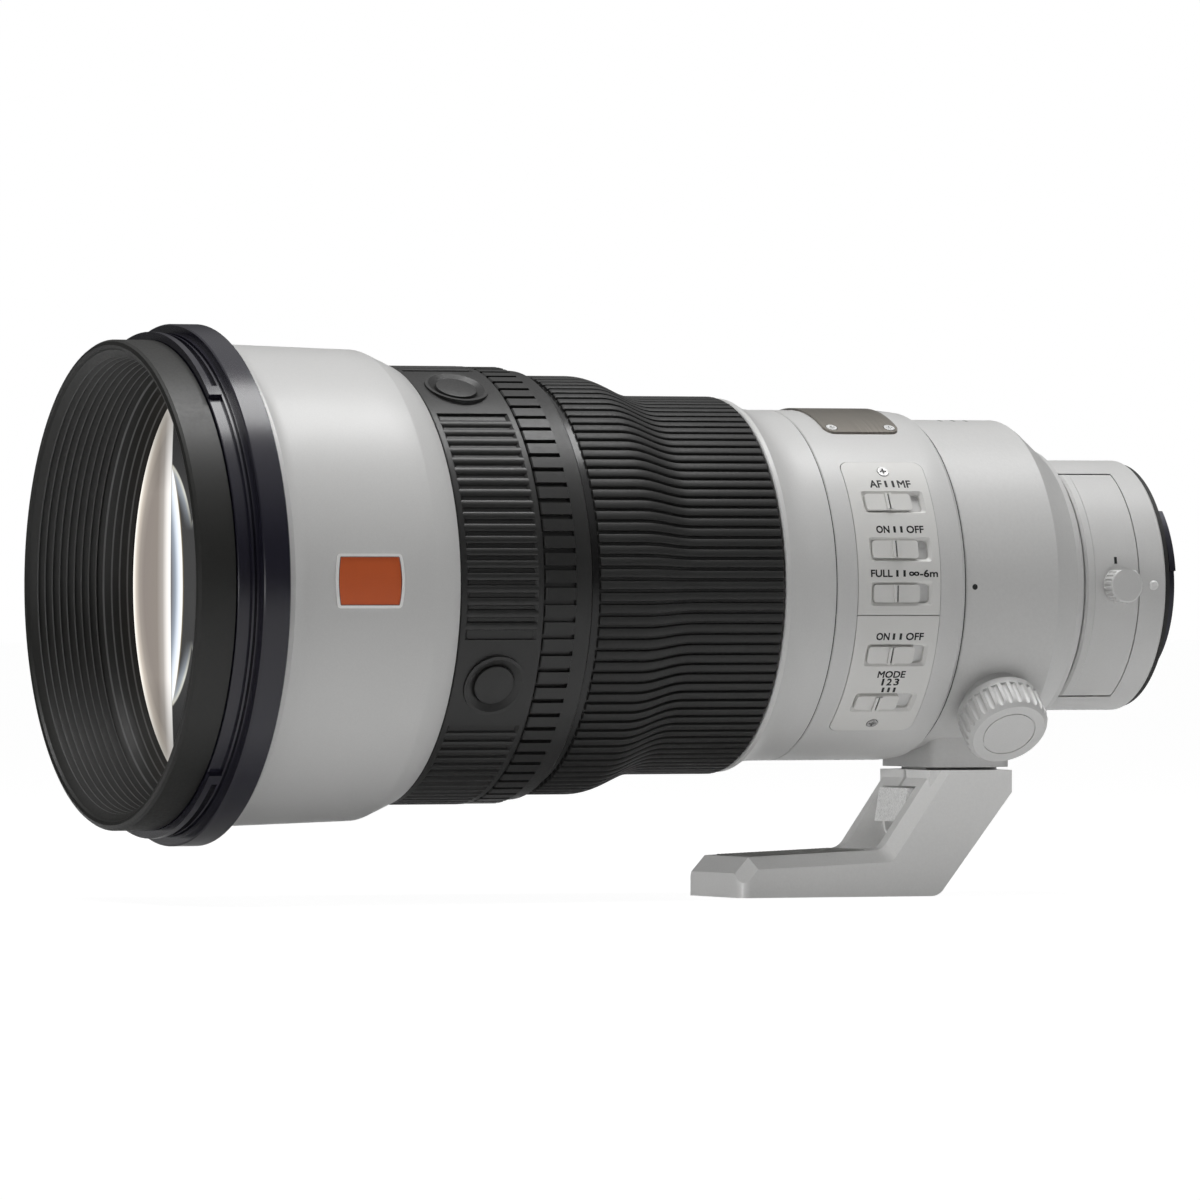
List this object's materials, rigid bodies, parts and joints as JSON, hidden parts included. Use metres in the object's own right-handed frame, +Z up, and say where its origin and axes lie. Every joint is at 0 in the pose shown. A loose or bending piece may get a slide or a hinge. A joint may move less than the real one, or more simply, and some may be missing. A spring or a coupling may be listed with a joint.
{
  "type": "camera lens",
  "caption": "Long fast prime lens for a camera, with a focus ring, switch panels, drop-in filter and a turning tripod collar on a slide-off foot.",
  "frame": {"origin": "centre of the camera mount flange's rear face, on the optical axis", "axes": "+X along the optical axis towards the camera, so the front glass faces -X; +Z up, away from the foot; the switches face -Y"},
  "size_m": [0.2693, 0.124, 0.1374],
  "materials": {
    "white_paint": "fine warm white paint with a light grain",
    "black_paint": "matt black paint",
    "ribbed_black": "satin black",
    "grip_rubber": "matt black rubber with fine ribs",
    "soft_button": "smooth black rubber",
    "coated_glass": "clear, coated",
    "badge_metal": "brushed orange metal with a pale rim",
    "plate_metal": "dark brushed metal",
    "panel_black": "matt black",
    "panel_white": "satin white",
    "switch_plastic": "satin white",
    "screw_steel": "dark steel",
    "knob_white": "fine white paint",
    "lever_grey": "light grey with a fine sparkle",
    "bead_white": "gloss white",
    "seal_rubber": "matt black rubber",
    "mount_metal": "half gloss blue-black",
    "contact_gold": "gold plated",
    "inner_metal": "black anodised",
    "leaf_steel": "black blued steel",
    "board_green": "green board"
  },
  "bodies": {
    "lens_body": {"front_tube": "black_paint", "hood_ring": "black_paint", "front_barrel": "white_paint", "badge_plate": "badge_metal", "front_cell": "black_paint", "front_element": "coated_glass", "second_element": "coated_glass", "main_tube": "black_paint", "button_ring": "ribbed_black", "trim_ring": "white_paint", "switch_barrel": "white_paint", "name_plate": "plate_metal", "cover_screws": "screw_steel", "upper_switch_panel": "panel_white", "lower_switch_panel": "panel_white", "rear_barrel": "white_paint", "mount_index_bead": "bead_white", "mount_seal": "seal_rubber", "bayonet_mount": "mount_metal", "mount_screws": "screw_steel", "contact_block": "panel_black", "contact_pins": "contact_gold", "guide_rods": "screw_steel", "stabiliser_frame": "inner_metal", "iris_housing": "inner_metal", "rear_cell": "inner_metal", "rear_element": "coated_glass", "circuit_board": "board_green"},
    "function_ring_body": {"function_ring": "ribbed_black"},
    "focus_ring_body": {"focus_sleeve": "ribbed_black", "focus_grip": "grip_rubber"},
    "hold_button_1_body": {"hold_button_1": "soft_button"},
    "hold_button_2_body": {"hold_button_2": "soft_button"},
    "hold_button_3_body": {"hold_button_3": "soft_button"},
    "hold_button_4_body": {"hold_button_4": "soft_button"},
    "focus_mode_switch_body": {"focus_mode_switch": "switch_plastic"},
    "override_switch_body": {"override_switch": "switch_plastic"},
    "range_switch_body": {"range_switch": "switch_plastic"},
    "stabiliser_switch_body": {"stabiliser_switch": "switch_plastic"},
    "stabiliser_mode_switch_body": {"stabiliser_mode_switch": "switch_plastic"},
    "collar_body": {"collar_ring": "white_paint"},
    "collar_knob_body": {"collar_knob": "knob_white"},
    "foot_body": {"foot": "white_paint", "foot_lever_pin": "screw_steel"},
    "foot_lever_body": {"foot_lever": "lever_grey"},
    "filter_body": {"filter_holder": "white_paint", "filter_glass": "coated_glass"},
    "filter_knob_body": {"filter_knob": "knob_white"},
    "focus_cell_body": {"focus_cell": "inner_metal", "focus_lens": "coated_glass"},
    "stabiliser_stage_body": {"stabiliser_stage": "inner_metal"},
    "stabiliser_cell_body": {"stabiliser_cell": "inner_metal", "stabiliser_lens": "coated_glass"},
    "iris_ring_body": {"iris_ring": "inner_metal"},
    "iris_leaf_1_body": {"iris_leaf_1": "leaf_steel"},
    "iris_leaf_2_body": {"iris_leaf_2": "leaf_steel"},
    "iris_leaf_3_body": {"iris_leaf_3": "leaf_steel"},
    "iris_leaf_4_body": {"iris_leaf_4": "leaf_steel"},
    "iris_leaf_5_body": {"iris_leaf_5": "leaf_steel"},
    "iris_leaf_6_body": {"iris_leaf_6": "leaf_steel"}
  },
  "joints": [
    {"name": "function_ring_turn", "type": "hinge", "parent": "lens_body", "child": "function_ring_body", "pos_m": [-0.1685, 0, 0], "axis": [1, 0, 0], "range_deg": [-12, 12], "stiffness_Nm_per_rad": 0.4},
    {"name": "focus_ring_turn", "type": "hinge", "parent": "lens_body", "child": "focus_ring_body", "pos_m": [-0.1357, 0, 0], "axis": [1, 0, 0], "range_deg": [-75, 75]},
    {"name": "hold_button_1_press", "type": "slide", "parent": "lens_body", "child": "hold_button_1_body", "axis": [0, 0.4493, -0.8934], "range_m": [0, 0.0006], "stiffness_N_per_m": 1500, "springref_m": -0.0004},
    {"name": "hold_button_2_press", "type": "slide", "parent": "lens_body", "child": "hold_button_2_body", "axis": [0, 0.8934, 0.4493], "range_m": [0, 0.0006], "stiffness_N_per_m": 1500, "springref_m": -0.0004},
    {"name": "hold_button_3_press", "type": "slide", "parent": "lens_body", "child": "hold_button_3_body", "axis": [0, -0.4493, 0.8934], "range_m": [0, 0.0006], "stiffness_N_per_m": 1500, "springref_m": -0.0004},
    {"name": "hold_button_4_press", "type": "slide", "parent": "lens_body", "child": "hold_button_4_body", "axis": [0, -0.8934, -0.4493], "range_m": [0, 0.0006], "stiffness_N_per_m": 1500, "springref_m": -0.0004},
    {"name": "focus_mode_switch_slide", "type": "slide", "parent": "lens_body", "child": "focus_mode_switch_body", "axis": [1, 0, 0], "range_m": [0, 0.0025]},
    {"name": "override_switch_slide", "type": "slide", "parent": "lens_body", "child": "override_switch_body", "axis": [1, 0, 0], "range_m": [0, 0.0025]},
    {"name": "range_switch_slide", "type": "slide", "parent": "lens_body", "child": "range_switch_body", "axis": [1, 0, 0], "range_m": [0, 0.0025]},
    {"name": "stabiliser_switch_slide", "type": "slide", "parent": "lens_body", "child": "stabiliser_switch_body", "axis": [1, 0, 0], "range_m": [0, 0.0025]},
    {"name": "stabiliser_mode_switch_slide", "type": "slide", "parent": "lens_body", "child": "stabiliser_mode_switch_body", "axis": [1, 0, 0], "range_m": [0, 0.0035]},
    {"name": "collar_turn", "type": "hinge", "parent": "lens_body", "child": "collar_body", "pos_m": [-0.0425, 0, 0], "axis": [1, 0, 0], "continuous": true},
    {"name": "collar_knob_turn", "type": "hinge", "parent": "collar_body", "child": "collar_knob_body", "pos_m": [-0.0475, -0.03291, -0.03069], "axis": [0, -0.7314, -0.682], "range_deg": [0, 180]},
    {"name": "foot_slide", "type": "slide", "parent": "collar_body", "child": "foot_body", "axis": [-1, 0, 0], "range_m": [0, 0.022]},
    {"name": "foot_lever_press", "type": "hinge", "parent": "foot_body", "child": "foot_lever_body", "pos_m": [-0.056, 0, -0.052], "axis": [0, -1, 0], "range_deg": [0, 14], "stiffness_Nm_per_rad": 0.3, "springref_deg": -5.73},
    {"name": "filter_slide", "type": "slide", "parent": "lens_body", "child": "filter_body", "axis": [0, -1, 0], "range_m": [0, 0.065]},
    {"name": "filter_knob_turn", "type": "hinge", "parent": "filter_body", "child": "filter_knob_body", "pos_m": [-0.01425, -0.031, 0], "axis": [0, -1, 0], "range_deg": [0, 90]},
    {"name": "focus_cell_slide", "type": "slide", "parent": "lens_body", "child": "focus_cell_body", "axis": [1, 0, 0], "range_m": [-0.0074, 0.0074]},
    {"name": "stabiliser_side_shift", "type": "slide", "parent": "lens_body", "child": "stabiliser_stage_body", "axis": [0, 1, 0], "range_m": [-0.001, 0.001], "stiffness_N_per_m": 400},
    {"name": "stabiliser_height_shift", "type": "slide", "parent": "stabiliser_stage_body", "child": "stabiliser_cell_body", "axis": [0, 0, 1], "range_m": [-0.001, 0.001], "stiffness_N_per_m": 400},
    {"name": "iris_ring_turn", "type": "hinge", "parent": "lens_body", "child": "iris_ring_body", "pos_m": [-0.1001, 0, 0], "axis": [1, 0, 0], "range_deg": [0, 40]},
    {"name": "iris_leaf_1_turn", "type": "hinge", "parent": "lens_body", "child": "iris_leaf_1_body", "pos_m": [-0.1055, 0, 0.0292], "axis": [1, 0, 0], "range_deg": [0, 22]},
    {"name": "iris_leaf_2_turn", "type": "hinge", "parent": "lens_body", "child": "iris_leaf_2_body", "pos_m": [-0.1055, -0.02529, 0.0146], "axis": [1, 0, 0], "range_deg": [0, 22]},
    {"name": "iris_leaf_3_turn", "type": "hinge", "parent": "lens_body", "child": "iris_leaf_3_body", "pos_m": [-0.1055, -0.02529, -0.0146], "axis": [1, 0, 0], "range_deg": [0, 22]},
    {"name": "iris_leaf_4_turn", "type": "hinge", "parent": "lens_body", "child": "iris_leaf_4_body", "pos_m": [-0.1055, 0, -0.0292], "axis": [1, 0, 0], "range_deg": [0, 22]},
    {"name": "iris_leaf_5_turn", "type": "hinge", "parent": "lens_body", "child": "iris_leaf_5_body", "pos_m": [-0.1055, 0.02529, -0.0146], "axis": [1, 0, 0], "range_deg": [0, 22]},
    {"name": "iris_leaf_6_turn", "type": "hinge", "parent": "lens_body", "child": "iris_leaf_6_body", "pos_m": [-0.1055, 0.02529, 0.0146], "axis": [1, 0, 0], "range_deg": [0, 22]}
  ],
  "couplings": [
    {"joint": "focus_cell_slide", "follows": "focus_ring_turn", "m_per_rad": 0.0055},
    {"joint": "iris_leaf_1_turn", "follows": "iris_ring_turn", "ratio": 0.54},
    {"joint": "iris_leaf_2_turn", "follows": "iris_ring_turn", "ratio": 0.54},
    {"joint": "iris_leaf_3_turn", "follows": "iris_ring_turn", "ratio": 0.54},
    {"joint": "iris_leaf_4_turn", "follows": "iris_ring_turn", "ratio": 0.54},
    {"joint": "iris_leaf_5_turn", "follows": "iris_ring_turn", "ratio": 0.54},
    {"joint": "iris_leaf_6_turn", "follows": "iris_ring_turn", "ratio": 0.54}
  ]
}
